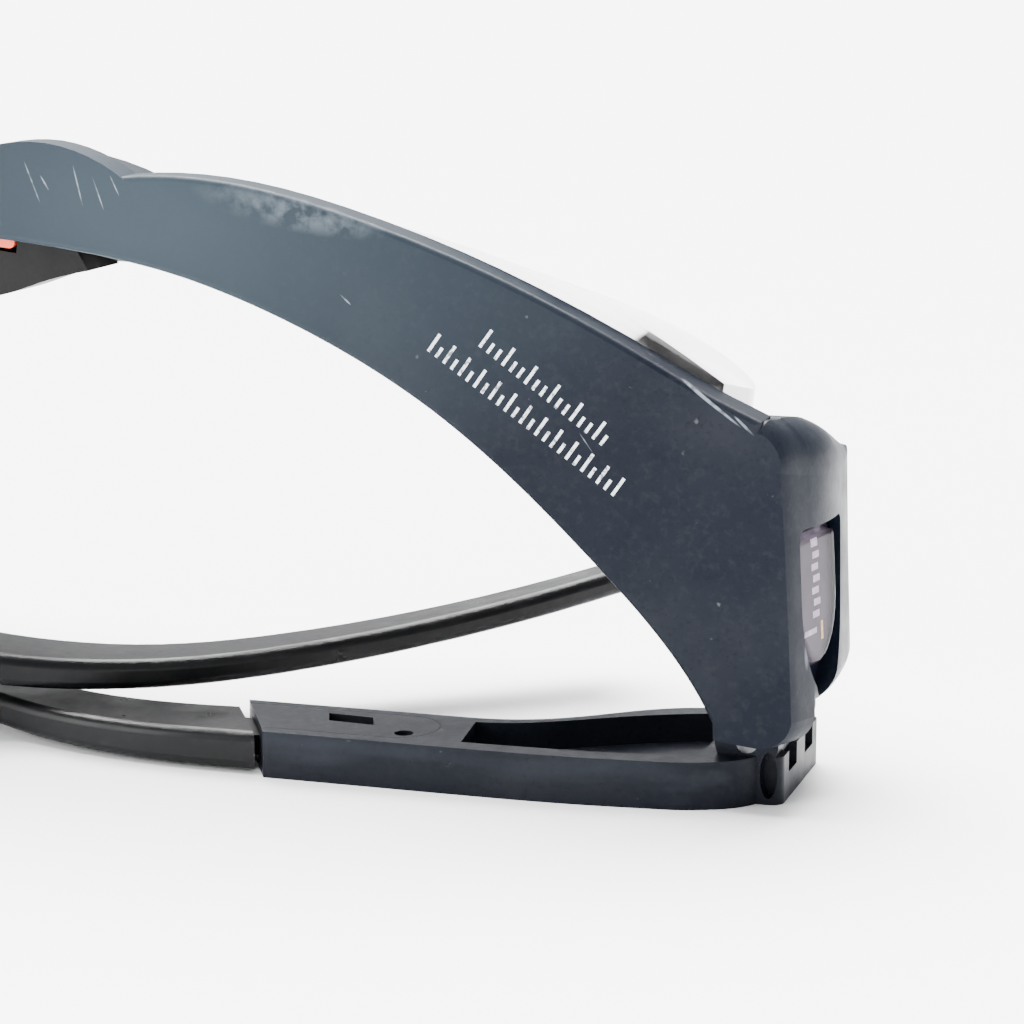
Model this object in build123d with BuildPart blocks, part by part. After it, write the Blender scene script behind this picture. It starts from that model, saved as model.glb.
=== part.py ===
from build123d import *
import math
import os

os.makedirs("parts", exist_ok=True)

# Length-adjustable eyewear frame with a brow shelf, a clear shield and folding telescopic temples.
# It lies on a table on its folded temples, shield up, as it is put down in use.
#
# Design frame: X is the wearer's side to side, Y runs down the face from the top of the brow,
# and "back" is the distance behind the front of the bridge. Row frame: +Z up from the table.
# All lengths are millimetres and all angles degrees.

# Whole object
tilt = 6.5                # the front leans down to the right when it lies on its temples
pin_side = 63.0           # hinge pin, from the middle
pin_back = 39.5           # hinge pin, behind the bridge
temple_out = 5.0          # hinge pin to the outer face of the temple
left_fold_slope = 9.4     # slope of the left temple, which crosses over the right one
running_gap = 0.05        # radial clearance of a pin in its knuckle
slide_gap = 0.15          # clearance of a sliding piece on each side

# Brow shelf
shelf_thick = 3.2
bridge_depth = 8.4        # front to back at the middle
hump_half = 6.8           # half width of the bump over the nose
hump_drop = 1.8
corner_side = 61.6        # front corner of the shelf
corner_back = 13.1
shelf_end_back = 38.8     # rear end of the shelf, over the hinge
rear_corner_side = 61.3
rim_drop = 5.2            # rib under the shelf that backs the shield
rim_thick = 1.2
rim_setback = 2.45        # from the front of the shield to the rib
buttress_half = 9.4
buttress_drop = 6.5
edge_round = 0.45         # rounding of the shelf's edges

# End blocks, at each end of the shelf
block_height = 17.6
block_end_back = 36.3     # rear wall, which stops the opened temple
block_inner = 57.5        # inner side of the wall
end_round = 2.6

# Hinge
pin_radius = 0.9
knuckle_radius = 2.6
knuckle_gap = 0.12        # end clearance between two knuckles
hinge_top = 3.5           # first knuckle, just under the shelf
frame_lugs = ((6.2, 2.7), (12.2, 2.7))           # start and length along the pin
temple_knuckles = ((3.5, 2.58), (9.02, 3.06), (15.02, 2.58))
hinge_bottom = 17.6

# Shield
shield_thick = 2.2
shield_lean = 0.21        # it leans back this much for each millimetre down
shield_top = shelf_thick + 0.12
shield_height = 38.0
shield_half = 57.6

# Nose piece
pad_down = 32.0
pad_side = 12.6
pad_back = 14.0
pad_splay = 27.0          # plan angle of a pad
pad_flare = 18.0          # front-view angle of a pad

# Badge in the side of each end block
badge_side = 65.3         # centre of its seat
badge_back = 27.3
badge_down = 6.3
badge_lean = 9.5          # it follows the end block's side
badge_tilt = 12.0         # it faces up a little
badge_front = 5.0         # square front end and rounded rear end, from its centre
badge_rear = 5.8
badge_half = 4.0
pocket_front = 5.8
pocket_rear = 8.2
pocket_half = 4.3
badge_thick = 0.5
dome_thick = 0.9

# Temple arm, a sleeve with a flared root at the hinge
arm_in = 1.1              # inner face, from the pin's plane
arm_root = 2.9            # root beyond the pin, which meets the end block when open
arm_wall = 1.5
boss_start = 25.0         # start of the closed sleeve
mouth_top = 39.5          # the mouth of the sleeve is cut on a slant
mouth_bottom = 44.5
arm_rise = 1.1            # top edge above the shelf's level
arm_round = 1.0           # outer corners of the root
arm_low = 8.3             # lower edge at the sleeve
cover_thick = 0.9

# Temple tip, a bowed bar whose tongue slides in the sleeve
tip_in = 1.5
tip_out = 4.7
tip_top = -0.7
tip_low = 8.0
bend_start = 46.0
bend_radius = 50.0
bend_angle = 42.0
hook_length = 36.0
bow_start = 57.0
bow_radius = 105.0
tip_slim = 0.35           # thinning of each face towards the end
tip_slim_run = 32.0
tongue_thick = 1.7
tongue_tall = 5.0
tongue_start = 29.0
tongue_top = 1.2
mouth_gap = 0.9           # between the sleeve and the tip's shoulder
sleeve_floor = 3.95       # floor of the sleeve, from the pin's plane
spring_level = 6.25
tip_travel = 3.0          # how far the tip pulls out, two notches
tooth_pitch = 1.5
tooth_count = 5 + int(tip_travel / tooth_pitch)
tooth_depth = 0.35

# Lens lock
lock_side = -7.7
lock_back = 8.4
lock_long = 8.0
lock_tall = 2.4
lock_deep = 2.4


def face_plane(down):
    """Plane at a level down the face; its second axis runs towards the back."""
    return Plane(origin=(0, down, 0), x_dir=(1, 0, 0), z_dir=(0, 1, 0))


def mirrored(shape):
    return mirror(shape, about=Plane.YZ)


# ---------------------------------------------------------------- brow frame
shield_dir = Vector(0, 1, -shield_lean)
front_points = (
    (hump_half, hump_drop),
    (16.8, 1.0),
    (27.2, 2.3),
    (37.6, 4.7),
    (51.4, 9.4),
    (corner_side, corner_back),
)
rear_points = ((rear_corner_side, shelf_end_back - 0.3), (49.8, 26.6), (34.3, 16.2), (16.0, 9.8))
shield_points = ((0, 2.9), (18.0, 2.1), (34.2, 3.4), (47.9, 6.7), (shield_half, 11.2))

# sections of the end block: level, side flare, front, and how far the rear reaches
cap_sections = ((0, 0, 14.0), (0.6, 0.35, 13.25), (1.8, 0.85, 13.1), (shelf_thick, 1.35, 13.1))
wall_sections = (
    (shelf_thick, 1.35, 13.1),
    (5.4, 1.95, 13.3),
    (8.0, 2.2, 13.7),
    (12.0, 2.1, 14.8),
    (block_height, 1.3, 17.0),
)


def front_band(first, second, half):
    """Closed band that follows the front of the shield between two setbacks."""
    ends = ((1, 0), (1, 0.52))
    near = [(x, y + first) for x, y in shield_points]
    far = [(x, y + second) for x, y in shield_points]
    with BuildLine() as edge:
        Spline(*near, tangents=ends)
        Line(near[-1], far[-1])
        Spline(*far, tangents=ends)
        mirror(about=Plane.YZ)
    return edge.line


def end_outline(level, out, front, end):
    """Right end block at one level. Its side stands out further below the top edge."""
    front_end = (corner_side + 0.6 * out, front)
    side_front = (corner_side + 2.0 + 1.25 * out, 16.8 + 0.3 * out)
    shoulder = (
        0.35 * front_end[0] + 0.65 * side_front[0],
        0.68 * front_end[1] + 0.32 * side_front[1],
    )
    side_mid = (corner_side + 3.4 + out, 24.3)
    side_rear = (corner_side + 0.16 * (end - 5.1) + 0.9 * out, end - end_round)
    with BuildSketch(face_plane(level)) as outline:
        with BuildLine():
            Line((block_inner, front + 0.6), front_end)
            ThreePointArc(front_end, shoulder, side_front)
            ThreePointArc(side_front, side_mid, side_rear)
            RadiusArc(side_rear, (side_rear[0] - end_round, end), -end_round)
            Line((side_rear[0] - end_round, end), (block_inner + 3.5, end))
            Line((block_inner + 3.5, end), (block_inner, front + 0.6))
        make_face()
    return outline.sketch.face()


def rounded_end(front, rear, half):
    """Badge outline: square at the front, rounded at the rear. It runs along the side face."""
    with BuildSketch() as outline:
        with Locations((-front / 2, 0)):
            Rectangle(front, 2 * half)
        Ellipse(rear, half)
        with Locations((-rear, 0)):
            Rectangle(2 * (rear - front), 2 * half, mode=Mode.SUBTRACT)
        fillet(outline.vertices().group_by(Axis.X)[0], 0.9)
    return outline.sketch


side_lean = math.radians(badge_lean)
side_tilt = math.radians(badge_tilt)
badge_face = Plane(
    origin=(badge_side, badge_down, -badge_back),
    x_dir=(math.sin(side_lean), 0, -math.cos(side_lean)),
    z_dir=(
        math.cos(side_lean) * math.cos(side_tilt),
        -math.sin(side_tilt),
        math.sin(side_lean) * math.cos(side_tilt),
    ),
)


def buttress_outline(level, half, front):
    """Bump over the nose at one level; it widens towards the shield."""
    with BuildSketch(face_plane(level)) as outline:
        with BuildLine():
            ThreePointArc((-half, front + 1.75), (0, front), (half, front + 1.75))
            Line((half, front + 1.75), (half, front + 1.85))
            Line((half, front + 1.85), (-half, front + 1.85))
            Line((-half, front + 1.85), (-half, front + 1.75))
        make_face()
    return outline.sketch.face()


def cover_face(gap):
    """Outline of the sleeve's cover plate, or of its seat when a gap is given."""
    with BuildSketch() as outline:
        with BuildLine():
            ThreePointArc(
                (-boss_start - 4.0 + gap, 0.3 - gap),
                (-boss_start - 1.0 + gap, 3.8),
                (-boss_start - 4.0 + gap, 7.3 + gap),
            )
            Line((-boss_start - 4.0 + gap, 7.3 + gap), (-mouth_bottom + 0.5 - 4 * gap, 7.3 + gap))
            Line((-mouth_bottom + 0.5 - 4 * gap, 7.3 + gap), (-mouth_top - 0.7 - 4 * gap, 0.3 - gap))
            Line((-mouth_top - 0.7 - 4 * gap, 0.3 - gap), (-boss_start - 4.0 + gap, 0.3 - gap))
        make_face()
    return outline.sketch


with BuildPart() as right_block:
    loft([end_outline(level, out, front, shelf_end_back) for level, out, front in cap_sections])
    loft([end_outline(level, out, front, block_end_back) for level, out, front in wall_sections])
    # lugs that carry the hinge pin
    for start, length in frame_lugs:
        with BuildSketch(face_plane(start)):
            with Locations((pin_side, pin_back)):
                Circle(knuckle_radius)
            with BuildLine():
                Polyline(
                    (pin_side - knuckle_radius, pin_back),
                    (pin_side - knuckle_radius + 0.6, block_end_back - 1.0),
                    (pin_side + knuckle_radius - 0.4, block_end_back - 1.0),
                    (pin_side + knuckle_radius, pin_back),
                    close=True,
                )
            make_face()
        extrude(amount=length)
    with BuildSketch(face_plane(hinge_top)):
        with Locations((pin_side, pin_back)):
            Circle(pin_radius)
    extrude(amount=hinge_bottom, mode=Mode.SUBTRACT)

with BuildPart() as badge_pocket:
    with BuildSketch(badge_face):
        add(rounded_end(pocket_front, pocket_rear, pocket_half))
    extrude(amount=6.0)

with BuildPart() as brow_frame:
    with BuildSketch(face_plane(0)):
        with BuildLine():
            ThreePointArc((0, 0), (hump_half / 2, hump_drop * 0.25), (hump_half, hump_drop))
            Spline(*front_points, tangents=((1, -0.22), (1, 0.3)))
            Line((corner_side, corner_back), (corner_side, corner_back + 5.0))
            Line((corner_side, corner_back + 5.0), (rear_corner_side + 2.0, shelf_end_back))
            Line((rear_corner_side + 2.0, shelf_end_back), rear_points[0])
            Spline(*rear_points, (0, bridge_depth), tangents=((-0.5, -0.86), (-1, 0)))
            mirror(about=Plane.YZ)
        make_face()
    extrude(amount=shelf_thick)
    rim = brow_frame.edges().group_by(Axis.Y)[0]
    fillet(rim.filter_by(lambda edge: edge.length > 15), edge_round)
    add(right_block.part)
    add(mirrored(right_block.part))
    add(badge_pocket.part, mode=Mode.SUBTRACT)
    add(mirrored(badge_pocket.part), mode=Mode.SUBTRACT)
    # rib behind the shield
    with BuildSketch(face_plane(shelf_thick)):
        with BuildLine():
            add(front_band(rim_setback, rim_setback + rim_thick, shield_half))
        make_face()
    extrude(amount=rim_drop * math.hypot(1, shield_lean), dir=shield_dir)
    # flared buttress in front of the shield at the bridge
    loft([buttress_outline(0.9, hump_half - 0.2, 0.4), buttress_outline(buttress_drop, buttress_half, 1.0)])

# ---------------------------------------------------------------- shield
with BuildPart() as shield:
    with BuildSketch(face_plane(shield_top)):
        with BuildLine():
            add(front_band(0, shield_thick, shield_half))
        make_face()
    extrude(amount=shield_height * math.hypot(1, shield_lean), dir=shield_dir)
    with BuildSketch(Plane.XY.offset(-40)):
        with BuildLine():
            Line((0, shield_top), (shield_half, shield_top))
            Line((shield_half, shield_top), (shield_half - 0.6, 16.0))
            Spline(
                (shield_half - 0.6, 16.0),
                (50.0, 33.0),
                (32.0, 41.0),
                (17.5, 37.0),
                tangents=((-0.05, 1), (-0.35, -1)),
            )
            Spline((17.5, 37.0), (11.0, 22.0), (0, 14.0), tangents=((-0.35, -1), (-1, 0)))
            mirror(about=Plane.YZ)
        make_face()
    extrude(amount=60, mode=Mode.INTERSECT)

# ---------------------------------------------------------------- nose piece
pad_pose = Location((pad_side, pad_down, -pad_back), (0, pad_splay, -pad_flare))

with BuildPart() as nose_arm:
    with BuildLine():
        Spline((1.8, 7.8, -9.0), (6.4, 15.0, -9.7), (pad_side, pad_down - 1.0, -pad_back + 0.3))
    with BuildSketch(Plane(origin=(1.8, 7.8, -9.0), z_dir=(0.55, 0.8, -0.1))):
        Circle(1.2)
    sweep()

# the carrier holds both arms, and the lens lock on its left
with BuildPart() as nose_bridge:
    with BuildSketch(face_plane(shelf_thick + 0.05)):
        with BuildLine():
            Polyline((-14.5, 7.7), (-14.5, 13.0), (-12.5, 13.9), (-4.8, 13.7))
            Spline((-4.8, 13.7), (-1.0, 12.0), (3.2, 10.4), tangents=((0.9, -0.3), (0.95, -0.3)))
            Polyline((3.2, 10.4), (1.8, 8.6), (1.8, 7.7), (-14.5, 7.7))
        make_face()
    extrude(amount=6.0)
    with BuildSketch(face_plane(shelf_thick)):
        with Locations((lock_side - 1.5, lock_back - 0.7)):
            Rectangle(lock_long + 3.6, lock_deep + 2.0)
    extrude(amount=lock_tall + 0.9, mode=Mode.SUBTRACT)
    add(nose_arm.part)
    add(mirrored(nose_arm.part))

with BuildPart() as nose_pad:
    with BuildSketch(Plane.XY.offset(-1.6)):
        Ellipse(4.6, 7.0)
    extrude(amount=2.8)
    fillet(nose_pad.edges(), 1.2)

# ---------------------------------------------------------------- lens lock
with BuildPart() as lens_lock:
    with BuildSketch(face_plane(shelf_thick + slide_gap)):
        with Locations((lock_side, lock_back)):
            RectangleRounded(lock_long, lock_deep, 0.5)
    extrude(amount=lock_tall)
    with BuildSketch(face_plane(shelf_thick + slide_gap + lock_tall)):
        with Locations((lock_side - 1.5, lock_back), (lock_side, lock_back), (lock_side + 1.5, lock_back)):
            Rectangle(0.6, lock_deep - 0.6)
    extrude(amount=0.35)

# ---------------------------------------------------------------- badges
with BuildPart() as badge:
    with BuildSketch(badge_face):
        add(rounded_end(badge_front, badge_rear, badge_half))
    extrude(amount=badge_thick)

with BuildPart() as badge_dome:
    with BuildSketch(badge_face.offset(badge_thick)):
        add(rounded_end(badge_front, badge_rear, badge_half))
    extrude(amount=dome_thick)
    dome_top = badge_dome.faces().sort_by(Axis(badge_face.origin, badge_face.z_dir))[-1]
    fillet(dome_top.edges(), dome_thick * 0.85)

# ---------------------------------------------------------------- hinge pin
with BuildPart() as hinge_pin:
    with BuildSketch(face_plane(hinge_top)):
        with Locations((pin_side, pin_back)):
            Circle(pin_radius)
    extrude(amount=hinge_bottom - hinge_top)

# ---------------------------------------------------------------- temple
# Temples are drawn at the right hinge: the pin is at the origin, the temple runs to -X and its
# outer face is at the lowest Z.


def along(distance, level):
    return (-distance, level)


def tip_centre(run):
    """Side-view centre of the tip at a length along it, with its slope."""
    start = 3.65
    if run <= bend_start:
        return run, start, 0.0
    turn = min((run - bend_start) / bend_radius, math.radians(bend_angle))
    rest = run - bend_start - turn * bend_radius
    x = bend_start + bend_radius * math.sin(turn) + rest * math.cos(turn)
    y = start + bend_radius * (1 - math.cos(turn)) + rest * math.sin(turn)
    return x, y, turn


def tip_edge(run, side):
    """Point on the upper (-1) or lower (+1) edge of the tip."""
    x, y, turn = tip_centre(run)
    half = 4.35 - 1.1 * min(1.0, max(0.0, run - bend_start) / 26.0)
    return along(x - side * half * math.sin(turn), y + side * half * math.cos(turn))


def tip_bow(distance, inner):
    """Section of the tip seen from above: it bows inwards and thins towards its end."""
    bow = max(0.0, distance - bow_start) ** 2 / (2 * bow_radius)
    thin = tip_slim * min(1.0, max(0.0, distance - mouth_bottom) / tip_slim_run)
    level = tip_in + thin if inner else tip_out - thin
    return (-distance, level - bow)


tip_end = bend_start + bend_radius * math.radians(bend_angle) + hook_length
tip_runs = (mouth_bottom + 3.0, 56.0, 66.0, 76.0, 84.0, 100.0, tip_end - 3.0)
bow_runs = (36.0, 46.0, 57.0, 68.0, 82.0, 98.0, 114.0)

with BuildPart() as temple_arm:
    with BuildSketch(Plane.XY.offset(-temple_out)):
        with BuildLine():
            Polyline(along(-arm_root, hinge_bottom), along(-arm_root, hinge_top), along(-0.8, hinge_top))
            Spline(
                along(-0.8, hinge_top),
                along(0.6, 1.8),
                along(3.0, 0.5),
                along(10.0, -0.7),
                tangents=((-0.5, -0.86), (-1, -0.12)),
            )
            Spline(
                along(10.0, -0.7),
                along(22.0, -arm_rise - 0.1),
                along(mouth_top, -arm_rise),
                tangents=((-1, -0.12), (-1, 0)),
            )
            Line(along(mouth_top, -arm_rise), along(mouth_bottom, arm_low))
            Line(along(mouth_bottom, arm_low), along(boss_start, arm_low))
            Spline(
                along(boss_start, arm_low),
                along(14.7, 12.4),
                along(5.0, hinge_bottom),
                tangents=((1, 0), (1, 0.1)),
            )
            Line(along(5.0, hinge_bottom), along(-arm_root, hinge_bottom))
        make_face()
    extrude(amount=temple_out - arm_in)
    fillet(temple_arm.edges().filter_by(Axis.Z).group_by(Axis.X)[-1], arm_round)
    # recess in the inner face of the blade
    with BuildSketch(Plane.XY.offset(-temple_out + arm_wall)):
        with BuildLine():
            Spline(along(9.0, 1.5), along(16.0, 0.9), along(boss_start - 2.0, 0.7), tangents=((-1, -0.2), (-1, 0)))
            Line(along(boss_start - 2.0, 0.7), along(boss_start - 1.2, 7.0))
            Spline(
                along(boss_start - 1.2, 7.0),
                along(14.7, 11.0),
                along(3.6, 16.2),
                tangents=((1, 0.1), (1, 0.25)),
            )
            Line(along(3.6, 16.2), along(3.6, 4.2))
            Spline(along(3.6, 4.2), along(9.0, 1.5), tangents=((-0.1, -1), (-1, -0.2)))
        make_face()
    extrude(amount=temple_out, mode=Mode.SUBTRACT)
    # knuckles, then clearance for the frame's lugs between them
    for start, length in temple_knuckles:
        with BuildSketch(face_plane(start)):
            Circle(knuckle_radius)
        extrude(amount=length)
    for start, length in frame_lugs:
        with BuildSketch(face_plane(start - knuckle_gap)):
            Circle(knuckle_radius + 0.25)
            with Locations((arm_root, 0)):
                Rectangle(2 * arm_root, 2 * knuckle_radius + 0.5)
        extrude(amount=length + 2 * knuckle_gap, mode=Mode.SUBTRACT)
    with BuildSketch(face_plane(hinge_top - 1)):
        Circle(pin_radius + running_gap)
    extrude(amount=hinge_bottom, mode=Mode.SUBTRACT)
    # sleeve: room for the tongue, and a seat for the cover plate
    with BuildSketch(Plane.XY.offset(-sleeve_floor)):
        with BuildLine():
            Polyline(
                along(tongue_start - 1.0, tongue_top - slide_gap),
                along(mouth_bottom + 2.0, tongue_top - slide_gap),
                along(mouth_bottom + 2.0, spring_level + 0.45),
                along(tongue_start - 1.0, spring_level + 0.45),
                close=True,
            )
        make_face()
    extrude(amount=sleeve_floor, mode=Mode.SUBTRACT)
    with BuildSketch(Plane.XY.offset(-arm_in - cover_thick)):
        add(cover_face(0.05))
    extrude(amount=2.0, mode=Mode.SUBTRACT)
    # almond hollow in the near end of the root
    with BuildSketch(face_plane(hinge_top)):
        with Locations((1.8, 2.6)):
            Ellipse(0.7, 1.9)
    extrude(amount=1.2, mode=Mode.SUBTRACT)

with BuildPart() as sleeve_cover:
    with BuildSketch(Plane.XY.offset(-arm_in - cover_thick)):
        add(cover_face(0.0))
        with BuildLine():
            Polyline(along(31.5, 3.6), along(35.6, 3.9), along(36.4, 6.1), along(32.4, 5.8), close=True)
        make_face(mode=Mode.SUBTRACT)
        with Locations(along(28.3, 1.9)):
            Circle(0.8, mode=Mode.SUBTRACT)
    extrude(amount=cover_thick)

with BuildPart() as detent_spring:
    with BuildSketch(Plane.XY.offset(-sleeve_floor + 0.05)):
        with BuildLine():
            Polyline(
                along(tongue_start, spring_level + 0.1),
                along(mouth_top - 1.0, spring_level + 0.1),
                along(mouth_top - 1.0, spring_level + 0.4),
                along(tongue_start, spring_level + 0.4),
                close=True,
            )
        make_face()
        with Locations(along(35.0, spring_level + 0.1)):
            Circle(0.12)
    extrude(amount=tongue_thick - 0.1)

with BuildPart() as temple_tip:
    with BuildSketch(Plane.XY.offset(-30)):
        with BuildLine():
            Line(along(mouth_bottom + mouth_gap, tip_low), along(mouth_top + mouth_gap, tip_top))
            Spline(
                along(mouth_top + mouth_gap, tip_top),
                *[tip_edge(run, -1) for run in tip_runs],
                tangents=((-1, 0), (-math.cos(math.radians(bend_angle)), math.sin(math.radians(bend_angle)))),
            )
            ThreePointArc(
                tip_edge(tip_runs[-1], -1),
                along(*tip_centre(tip_end)[:2]),
                tip_edge(tip_runs[-1], 1),
            )
            Spline(
                *[tip_edge(run, 1) for run in reversed(tip_runs)],
                along(mouth_bottom + mouth_gap, tip_low),
                tangents=((math.cos(math.radians(bend_angle)), -math.sin(math.radians(bend_angle))), (1, 0)),
            )
        make_face()
    extrude(amount=60)
    with BuildSketch(face_plane(-10)):
        with BuildLine():
            Spline(*[tip_bow(run, True) for run in bow_runs])
            Spline(*[tip_bow(run, False) for run in bow_runs])
            Line(tip_bow(bow_runs[0], True), tip_bow(bow_runs[0], False))
            Line(tip_bow(bow_runs[-1], True), tip_bow(bow_runs[-1], False))
        make_face()
    extrude(amount=80, mode=Mode.INTERSECT)
    fillet(temple_tip.edges().filter_by(lambda edge: edge.length > 30), 0.8)
    # tongue with detent notches along its lower edge
    with BuildSketch(Plane.XY.offset(-sleeve_floor + slide_gap)):
        with BuildLine():
            Polyline(
                along(tongue_start, tongue_top + 0.4),
                along(tongue_start + 0.4, tongue_top),
                along(mouth_bottom + 1.5, tongue_top),
                along(mouth_bottom + 1.5, tongue_top + tongue_tall),
                along(tongue_start + 0.4, tongue_top + tongue_tall),
                along(tongue_start, tongue_top + tongue_tall - 0.4),
                close=True,
            )
        make_face()
        teeth = [along(tongue_start + 1.5 + tooth_pitch * n, tongue_top + tongue_tall) for n in range(tooth_count)]
        with Locations(*teeth):
            Circle(tooth_depth, mode=Mode.SUBTRACT)
    extrude(amount=tongue_thick)

# ---------------------------------------------------------------- lay the pieces down
lean = math.radians(tilt)
bridge_height = temple_out + pin_side * math.sin(lean) + pin_back * math.cos(lean)
front_pose = Location((0, 0, bridge_height), (0, tilt, 0))
right_pin_x = pin_side * math.cos(lean) - pin_back * math.sin(lean)
left_pin_x = -pin_side * math.cos(lean) - pin_back * math.sin(lean)
left_pin_z = temple_out + 2 * pin_side * math.sin(lean)
right_pose = Location((right_pin_x, 0, temple_out))
left_pose = Location((left_pin_x, 0, left_pin_z), (0, left_fold_slope, 0))
right_pad = pad_pose * nose_pad.part

nodes = {
    "brow_frame": front_pose * brow_frame.part,
    "shield": front_pose * shield.part,
    "nose_bridge": front_pose * nose_bridge.part,
    "nose_pad_right": front_pose * right_pad,
    "nose_pad_left": front_pose * mirrored(right_pad),
    "lens_lock": front_pose * lens_lock.part,
    "badge_right": front_pose * badge.part,
    "badge_left": front_pose * mirrored(badge.part),
    "badge_dome_right": front_pose * badge_dome.part,
    "badge_dome_left": front_pose * mirrored(badge_dome.part),
    "hinge_pin_right": front_pose * hinge_pin.part,
    "hinge_pin_left": front_pose * mirrored(hinge_pin.part),
}
for name, piece in (
    ("temple_arm", temple_arm.part),
    ("sleeve_cover", sleeve_cover.part),
    ("detent_spring", detent_spring.part),
    ("temple_tip", temple_tip.part),
):
    nodes[name + "_right"] = right_pose * piece
    nodes[name + "_left"] = left_pose * mirrored(piece)

# origin under the middle of the whole object, on the table
whole = Compound(list(nodes.values())).bounding_box()
centred = Location((-whole.center().X, -whole.center().Y, -whole.min.Z))

for name, piece in nodes.items():
    placed = centred * piece
    placed.label = name
    export_step(placed, "parts/" + name + ".step")
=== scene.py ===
import math
import bpy
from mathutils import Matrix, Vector


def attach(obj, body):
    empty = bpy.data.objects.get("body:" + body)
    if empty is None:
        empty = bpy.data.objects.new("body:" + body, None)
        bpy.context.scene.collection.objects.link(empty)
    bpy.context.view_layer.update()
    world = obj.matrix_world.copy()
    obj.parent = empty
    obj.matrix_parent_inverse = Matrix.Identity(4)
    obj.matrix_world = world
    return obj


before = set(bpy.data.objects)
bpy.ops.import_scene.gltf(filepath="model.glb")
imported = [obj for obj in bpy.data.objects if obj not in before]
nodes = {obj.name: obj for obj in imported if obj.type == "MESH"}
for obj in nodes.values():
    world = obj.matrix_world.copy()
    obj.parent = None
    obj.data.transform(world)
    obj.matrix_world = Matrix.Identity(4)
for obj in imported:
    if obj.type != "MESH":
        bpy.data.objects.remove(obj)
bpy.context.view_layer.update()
scene = bpy.context.scene

# Row frame: metres, +Z up from the table. The front leans down to +X by LEAN; BRIDGE is the
# front of its bridge. "side", "down" and "back" are millimetres on the front itself.
LEAN = math.radians(6.5)
BRIDGE = Vector((0.003823, -0.02023, 0.051378))


def on_front(side, down, back):
    x = side * math.cos(LEAN) - back * math.sin(LEAN)
    z = -side * math.sin(LEAN) - back * math.cos(LEAN)
    return BRIDGE + Vector((x, down, z)) / 1000


# ------------------------------------------------------------------ materials
class Surface:
    """A Principled material that is built up from procedural layers in object space."""

    def __init__(self, name, color, rough):
        self.material = bpy.data.materials.new(name)
        self.material.use_nodes = True
        self.tree = self.material.node_tree
        self.shader = self.tree.nodes["Principled BSDF"]
        self.set("Base Color", (*color, 1))
        self.set("Roughness", rough)
        self.where = self.tree.nodes.new("ShaderNodeTexCoord").outputs["Object"]
        self.color = color
        self.color_out = None
        self.height_out = None

    def set(self, socket, value):
        self.shader.inputs[socket].default_value = value

    def node(self, kind, **values):
        made = self.tree.nodes.new(kind)
        for key, value in values.items():
            setattr(made, key, value)
        return made

    def link(self, a, b):
        self.tree.links.new(a, b)

    def noise(self, scale, detail=3.0, stretch=None, rough=0.55):
        texture = self.node("ShaderNodeTexNoise")
        texture.inputs["Scale"].default_value = scale
        texture.inputs["Detail"].default_value = detail
        texture.inputs["Roughness"].default_value = rough
        if stretch:
            mapping = self.node("ShaderNodeMapping")
            mapping.inputs["Scale"].default_value = stretch
            self.link(self.where, mapping.inputs["Vector"])
            self.link(mapping.outputs["Vector"], texture.inputs["Vector"])
        else:
            self.link(self.where, texture.inputs["Vector"])
        return texture.outputs[0]

    def ramp(self, value, low, high, to=(0.0, 1.0)):
        mapped = self.node("ShaderNodeMapRange", clamp=True)
        mapped.inputs["From Min"].default_value = low
        mapped.inputs["From Max"].default_value = high
        mapped.inputs["To Min"].default_value = to[0]
        mapped.inputs["To Max"].default_value = to[1]
        self.link(value, mapped.inputs["Value"])
        return mapped.outputs["Result"]

    def math(self, operation, a, b):
        made = self.node("ShaderNodeMath", operation=operation)
        self.link(a, made.inputs[0])
        if isinstance(b, float):
            made.inputs[1].default_value = b
        else:
            self.link(b, made.inputs[1])
        return made.outputs[0]

    def spot(self, centre, turn, half_sizes):
        """Soft ellipsoid mask; its long axis is turned about Y."""
        mapping = self.node("ShaderNodeMapping", vector_type="TEXTURE")
        mapping.inputs["Location"].default_value = centre
        mapping.inputs["Rotation"].default_value = (0, turn, 0)
        mapping.inputs["Scale"].default_value = [size / 1000 for size in half_sizes]
        gradient = self.node("ShaderNodeTexGradient", gradient_type="SPHERICAL")
        self.link(self.where, mapping.inputs["Vector"])
        self.link(mapping.outputs["Vector"], gradient.inputs["Vector"])
        return gradient.outputs["Fac"]

    def tint(self, mask, color):
        mix = self.node("ShaderNodeMix", data_type="RGBA")
        if self.color_out:
            self.link(self.color_out, mix.inputs["A"])
        else:
            mix.inputs["A"].default_value = (*self.color, 1)
        mix.inputs["B"].default_value = (*color, 1)
        self.link(mask, mix.inputs["Factor"])
        self.color_out = mix.outputs["Result"]
        self.link(self.color_out, self.shader.inputs["Base Color"])

    def roughness(self, mask, low, high):
        self.link(self.ramp(mask, 0.3, 0.7, (low, high)), self.shader.inputs["Roughness"])

    def bump(self, value, strength, depth):
        made = self.node("ShaderNodeBump")
        made.inputs["Strength"].default_value = strength
        made.inputs["Distance"].default_value = depth / 1000
        self.link(value, made.inputs["Height"])
        if self.height_out:
            self.link(self.height_out, made.inputs["Normal"])
        self.height_out = made.outputs["Normal"]
        self.link(self.height_out, self.shader.inputs["Normal"])


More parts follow.
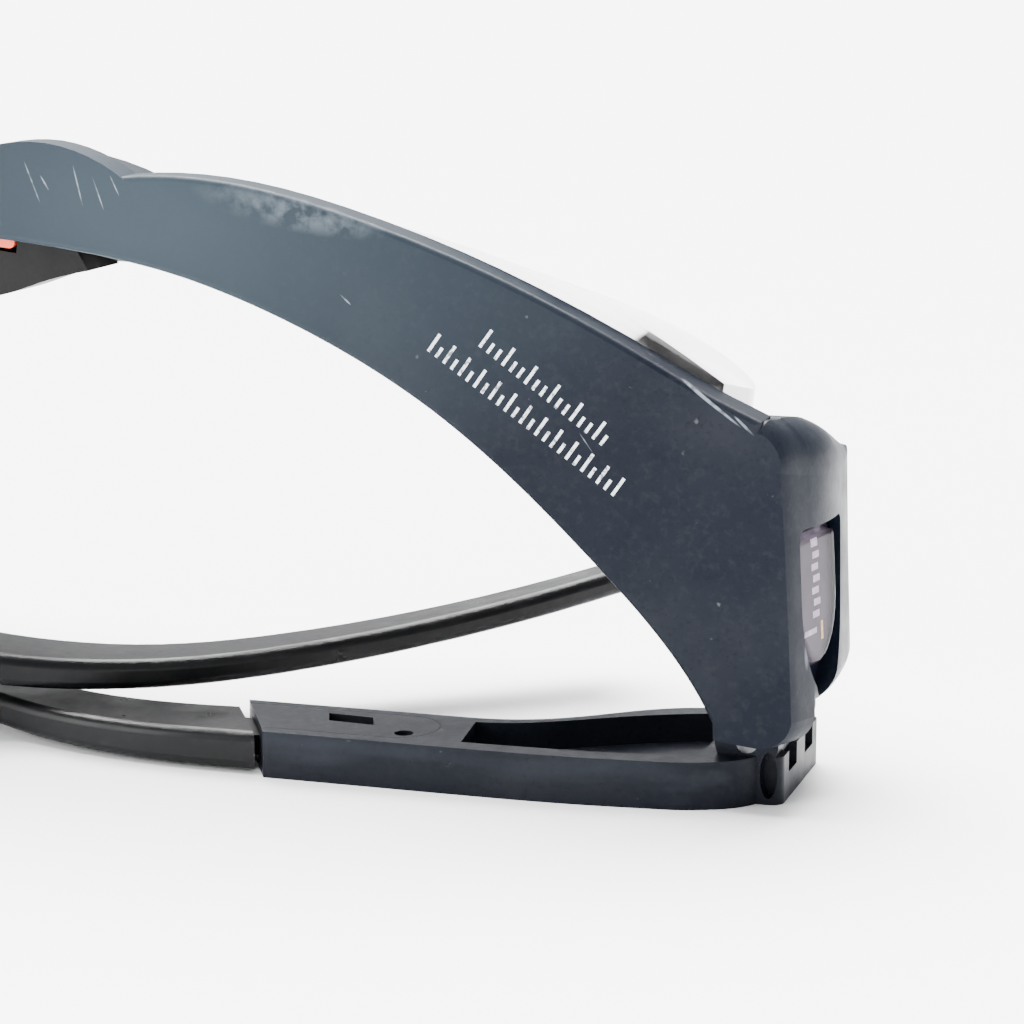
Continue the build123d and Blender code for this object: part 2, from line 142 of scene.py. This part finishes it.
def moulded(name, color, rough, light, grain=0.35, speck=0.5, gloss=0.08):
    """Matte moulded plastic: mottled, finely grained, with pale specks of dust."""
    surface = Surface(name, color, rough)
    surface.set("Specular IOR Level", gloss)
    pale = [c + (light - c) * 0.10 for c in color]
    dark = [c * 0.62 for c in color]
    surface.tint(surface.ramp(surface.noise(55, 4), 0.42, 0.75), pale)
    surface.tint(surface.ramp(surface.noise(1500, 3), 0.50, 0.80, (0.0, 0.6)), pale)
    surface.tint(surface.ramp(surface.noise(2600, 2), 0.55, 0.75, (0.0, 0.55)), dark)
    specks = surface.ramp(surface.noise(950, 2), 0.735, 0.80, (0.0, speck))
    surface.tint(specks, (light, light, light * 1.05))
    surface.roughness(surface.noise(240, 4), rough - 0.07, rough + 0.10)
    surface.bump(surface.noise(2300, 3), grain, 0.035)
    surface.bump(surface.noise(160, 2), 0.25, 0.06)
    return surface


# Fine scratches on the brow's top: side, back, turn in degrees, half length, half width
SCRATCHES = (
    (-0.9, 3.3, 62, 2.0, 0.07),
    (0.2, 3.2, 52, 0.8, 0.09),
    (3.2, 3.1, 70, 1.9, 0.08),
    (5.0, 3.4, 64, 1.6, 0.07),
    (6.4, 2.6, 58, 1.0, 0.06),
    (27.0, 8.8, 35, 0.7, 0.08),
    (57.2, 12.1, 30, 3.6, 0.16),
    (60.3, 13.6, 36, 1.2, 0.13),
    (48.0, 17.0, 48, 1.1, 0.05),
)
# Scuffs on the side of the right end block: side, down, back, turn in degrees, half length
SCUFFS = (
    (66.2, 1.6, 23.6, 80, 1.0),
    (67.6, 2.6, 29.0, 60, 0.35),
    (67.2, 2.0, 31.5, 85, 1.5),
    (66.4, 4.0, 16.0, 40, 0.8),
)


def brow_nylon():
    brow = moulded("brow_nylon", (0.0022, 0.0040, 0.0085), 0.42, 0.08)
    # painted highlight: a pale, patchy band along the front edge, towards the middle, where the rounded
    # edge catches the light
    edge_glint_spot = brow.spot(on_front(21.5, 0, 2.4), 0.17, (9.0, 1.6, 1.7))
    patchy_edge_glint = brow.math("MULTIPLY", brow.ramp(edge_glint_spot, 0.0, 0.7), brow.ramp(brow.noise(700, 4), 0.40, 0.62))
    brow.tint(patchy_edge_glint, (0.13, 0.15, 0.17))
    # painted sheen: a paler bloom over the middle half of the brow, where the left lamp's reflection
    # falls
    painted_sheen_spot = brow.spot(on_front(8.0, 0, 4.5), 0.1, (46.0, 8.0, 22.0))
    brow.tint(brow.ramp(painted_sheen_spot, 0.0, 0.9, (0.0, 0.85)), (0.026, 0.037, 0.046))
    for side, back, turn, half_long, half_wide in SCRATCHES:
        mark = brow.spot(on_front(side, 0, back), LEAN + math.radians(turn), (half_long, 1.2, half_wide))
        worn = brow.ramp(brow.noise(1200, 2), 0.40, 0.60, (0.25, 1.0))
        brow.tint(brow.math("MULTIPLY", brow.ramp(mark, 0.05, 0.45), worn), (0.16, 0.18, 0.21))
    for side, down, back, turn, half_long in SCUFFS:
        mark = brow.spot(on_front(side, down, back), math.radians(turn), (half_long, 0.5, 0.22))
        brow.tint(brow.ramp(mark, 0.1, 0.6, (0.0, 0.8)), (0.12, 0.13, 0.15))
    return brow


def temple_nylon():
    temple = moulded("temple_nylon", (0.0035, 0.0048, 0.0085), 0.40, 0.06)
    streaks = temple.noise(260, 3, stretch=(0.12, 1.0, 1.0))
    temple.tint(temple.ramp(streaks, 0.58, 0.78, (0.0, 0.5)), (0.022, 0.026, 0.034))
    return temple


def tip_nylon():
    tip = moulded("tip_nylon", (0.0012, 0.0015, 0.0020), 0.33, 0.03, grain=0.22, speck=0.25, gloss=0.14)
    lines = tip.noise(420, 3, stretch=(0.08, 1.0, 1.0))
    tip.tint(tip.ramp(lines, 0.60, 0.80, (0.0, 0.5)), (0.008, 0.009, 0.011))
    return tip


def lock_acetal():
    lock = Surface("lock_acetal", (0.70, 0.07, 0.015), 0.35)
    lock.tint(lock.ramp(lock.noise(900, 3), 0.45, 0.70, (0.0, 0.5)), (0.45, 0.03, 0.008))
    lock.roughness(lock.noise(600, 3), 0.28, 0.45)
    lock.bump(lock.noise(1800, 2), 0.2, 0.03)
    return lock


def label_print():
    label = Surface("label_print", (0.018, 0.004, 0.024), 0.35)
    label.tint(label.ramp(label.noise(700, 3), 0.42, 0.66), (0.008, 0.002, 0.012))
    label.roughness(label.noise(500, 3), 0.28, 0.42)
    return label


def pin_steel():
    steel = Surface("pin_steel", (0.09, 0.09, 0.095), 0.32)
    steel.set("Metallic", 1.0)
    brushed = steel.noise(1400, 3, stretch=(1.0, 0.1, 1.0))
    steel.tint(steel.ramp(brushed, 0.45, 0.70), (0.05, 0.05, 0.052))
    steel.roughness(steel.noise(900, 3), 0.24, 0.42)
    steel.bump(steel.noise(2400, 2, stretch=(1.0, 0.08, 1.0)), 0.3, 0.02)
    return steel


def clear(name, color, rough, ior):
    """Clear plastic, before its own roughness and bump."""
    surface = Surface(name, color, rough)
    surface.set("Transmission Weight", 1.0)
    surface.set("IOR", ior)
    return surface


def lens_clear():
    lens = clear("lens_clear", (0.90, 0.87, 0.86), 0.06, 1.58)
    lens.roughness(lens.noise(90, 4), 0.03, 0.10)
    lens.bump(lens.noise(300, 2), 0.04, 0.02)
    return lens


def dome_resin():
    resin = clear("dome_resin", (0.80, 0.72, 0.84), 0.05, 1.12)
    resin.roughness(resin.noise(250, 3), 0.02, 0.08)
    resin.bump(resin.noise(700, 2), 0.05, 0.02)
    return resin


def ink(name, color, rough, scale, detail, worn, worn_color):
    """Print that is worn in small spots."""
    surface = Surface(name, color, rough)
    surface.tint(surface.ramp(surface.noise(scale, detail), *worn), worn_color)
    return surface


brow = brow_nylon()
temple = temple_nylon()
cover = moulded("cover_nylon", (0.004, 0.005, 0.008), 0.42, 0.06)
tip = tip_nylon()
nose = moulded("nose_nylon", (0.0012, 0.0012, 0.0015), 0.45, 0.03, speck=0.2, gloss=0.12)
pad = moulded("pad_rubber", (0.0015, 0.0015, 0.0018), 0.6, 0.03, speck=0.2, gloss=0.1)
lock = lock_acetal()
label = label_print()
steel = pin_steel()
lens = lens_clear()
resin = dome_resin()
print_white = ink("print_white", (0.62, 0.64, 0.66), 0.5, 2600, 3, (0.54, 0.64), (0.10, 0.115, 0.14))
print_white.bump(print_white.noise(3000, 2), 0.3, 0.02)
label_white = ink("label_white", (0.34, 0.30, 0.34), 0.4, 1800, 2, (0.50, 0.70), (0.50, 0.42, 0.52))
label_yellow = ink("label_yellow", (0.62, 0.45, 0.06), 0.4, 1800, 2, (0.50, 0.70), (0.40, 0.26, 0.04))

SURFACES = (
    ("brow_frame", brow),
    ("temple_arm", temple),
    ("sleeve_cover", cover),
    ("temple_tip", tip),
    ("nose_bridge", nose),
    ("nose_pad", pad),
    ("lens_lock", lock),
    ("badge_dome", resin),
    ("badge_", label),
    ("shield", lens),
    ("hinge_pin", steel),
    ("detent_spring", steel),
)
for name, piece in nodes.items():
    surface = next(surface for prefix, surface in SURFACES if name.startswith(prefix))
    piece.data.materials.clear()
    piece.data.materials.append(surface.material)


# ------------------------------------------------------------------ printed marks
def patches(name, quads, surface, body):
    """Thin print: flat quads that move with a body."""
    corners = [corner for quad in quads for corner in quad]
    faces = [tuple(range(4 * n, 4 * n + 4)) for n in range(len(quads))]
    mesh = bpy.data.meshes.new(name)
    mesh.from_pydata(corners, [], faces)
    mesh.materials.append(surface.material)
    piece = bpy.data.objects.new(name, mesh)
    scene.collection.objects.link(piece)
    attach(piece, body)


PRINT_LIFT = 0.015  # how far the print stands off the brow, mm


def brow_bar(side, back, turn, long, wide):
    """Bar on the brow's top face, from its centre."""
    along = Vector((math.cos(turn), math.sin(turn)))
    across = Vector((-along.y, along.x))
    ends = []
    for a, b in ((-1, -1), (1, -1), (1, 1), (-1, 1)):
        spot = Vector((side, back)) + along * (a * long / 2) + across * (b * wide / 2)
        ends.append(on_front(spot.x, -PRINT_LIFT, spot.y))
    return ends


# Two rows of plain strokes: start, end, full height, count, and how often a stroke is full height.
STROKE_WIDE = 0.26
SHORT_STROKE = 0.55  # of the full height
ROWS = (
    ((38.6, 9.9), (49.9, 16.4), 1.7, 17, 3),
    ((34.4, 10.9), (51.3, 20.2), 1.7, 25, 2),
)
bars = []
for start, end, tall, count, step in ROWS:
    run = math.atan2(end[1] - start[1], end[0] - start[0])
    for n in range(count):
        part = (n + 0.5) / count
        short = n % step != 0
        size = tall * (SHORT_STROKE if short else 1.0)
        side = start[0] + (end[0] - start[0]) * part - math.sin(run) * (tall - size) / 2
        back = start[1] + (end[1] - start[1]) * part + math.cos(run) * (tall - size) / 2
        bars.append(brow_bar(side, back, run + math.pi / 2, size, STROKE_WIDE))
patches("brow_print", bars, print_white, "front")

# Badge print, on the label under each dome
seat = Vector((65.3, 6.3, 27.3))
badge_lift = 0.53  # the label's thickness and a hair over
lean, tilt = math.radians(9.5), math.radians(12.0)
back_axis = Vector((math.sin(lean), 0, math.cos(lean)))
down_axis = Vector((math.cos(lean) * math.sin(tilt), math.cos(tilt), -math.sin(lean) * math.sin(tilt)))
out_axis = Vector((math.cos(lean) * math.cos(tilt), -math.sin(tilt), -math.sin(lean) * math.cos(tilt)))


def badge_bar(along, across, long, wide, mirror):
    ends = []
    for a, b in ((-1, -1), (1, -1), (1, 1), (-1, 1)):
        spot = seat + out_axis * badge_lift
        spot += back_axis * (along + a * long / 2) + down_axis * (across + b * wide / 2)
        ends.append(on_front(spot.x * mirror, spot.y, spot.z))
    return ends


for label_side, mirror in (("right", 1), ("left", -1)):
    white = [badge_bar(-3.9 + 0.95 * n, 0.7 + 0.25 * (n % 2), 0.55, 1.25, mirror) for n in range(7)]
    white.append(badge_bar(3.1, -0.4, 0.45, 2.2, mirror))
    patches("badge_print_" + label_side, white, label_white, "front")
    patches("badge_tick_" + label_side, [badge_bar(3.3, 1.7, 1.5, 0.4, mirror)], label_yellow, "front")

# ------------------------------------------------------------------ stage
bpy.ops.mesh.primitive_plane_add(size=12, location=(0, 0, 0))
floor = bpy.context.object
floor.name = "floor"
paper = Surface("floor_paper", (0.86, 0.86, 0.865), 0.75)
paper.tint(paper.ramp(paper.noise(30, 3), 0.40, 0.70, (0.0, 0.5)), (0.84, 0.84, 0.85))
paper.bump(paper.noise(900, 3), 0.06, 0.03)
floor.data.materials.append(paper.material)

world = bpy.data.worlds.new("studio")
scene.world = world
world.use_nodes = True
sky = world.node_tree.nodes["Background"]
sky.inputs["Color"].default_value = (0.97, 0.98, 1.0, 1)
sky.inputs["Strength"].default_value = 1.2


def add_light(name, kind, location, power, size):
    """A light that points at the origin; size is degrees for a sun, metres for an area."""
    lamp = bpy.data.lights.new(name, kind)
    lamp.energy = power
    if kind == "SUN":
        lamp.angle = math.radians(size)
    else:
        lamp.size = size
    holder = bpy.data.objects.new(name, lamp)
    scene.collection.objects.link(holder)
    holder.location = location
    holder.rotation_euler = (-Vector(location)).to_track_quat("-Z", "Y").to_euler()


add_light("overhead", "SUN", (-0.25, 0.35, 1.0), 26.0, 60)
add_light("left_box", "AREA", (-0.45, -0.42, 0.20), 5.0, 0.35)

# ------------------------------------------------------------------ camera
azimuth = math.radians(17.5)
elevation = math.radians(11.0)
distance = 0.245
view_width = 0.080896  # metres across the picture, at the target
sensor_width = 36.0
target = BRIDGE + Vector((0.03969, 0, -0.02815))
toward_camera = Vector((
    math.sin(azimuth) * math.cos(elevation),
    -math.cos(azimuth) * math.cos(elevation),
    math.sin(elevation),
))
camera = bpy.data.objects.new("camera", bpy.data.cameras.new("camera"))
scene.collection.objects.link(camera)
camera.location = target + toward_camera * distance
camera.rotation_euler = (-toward_camera).to_track_quat("-Z", "Y").to_euler()
camera.data.sensor_width = sensor_width
camera.data.lens = sensor_width * distance / view_width
camera.data.clip_start = 0.01
scene.camera = camera
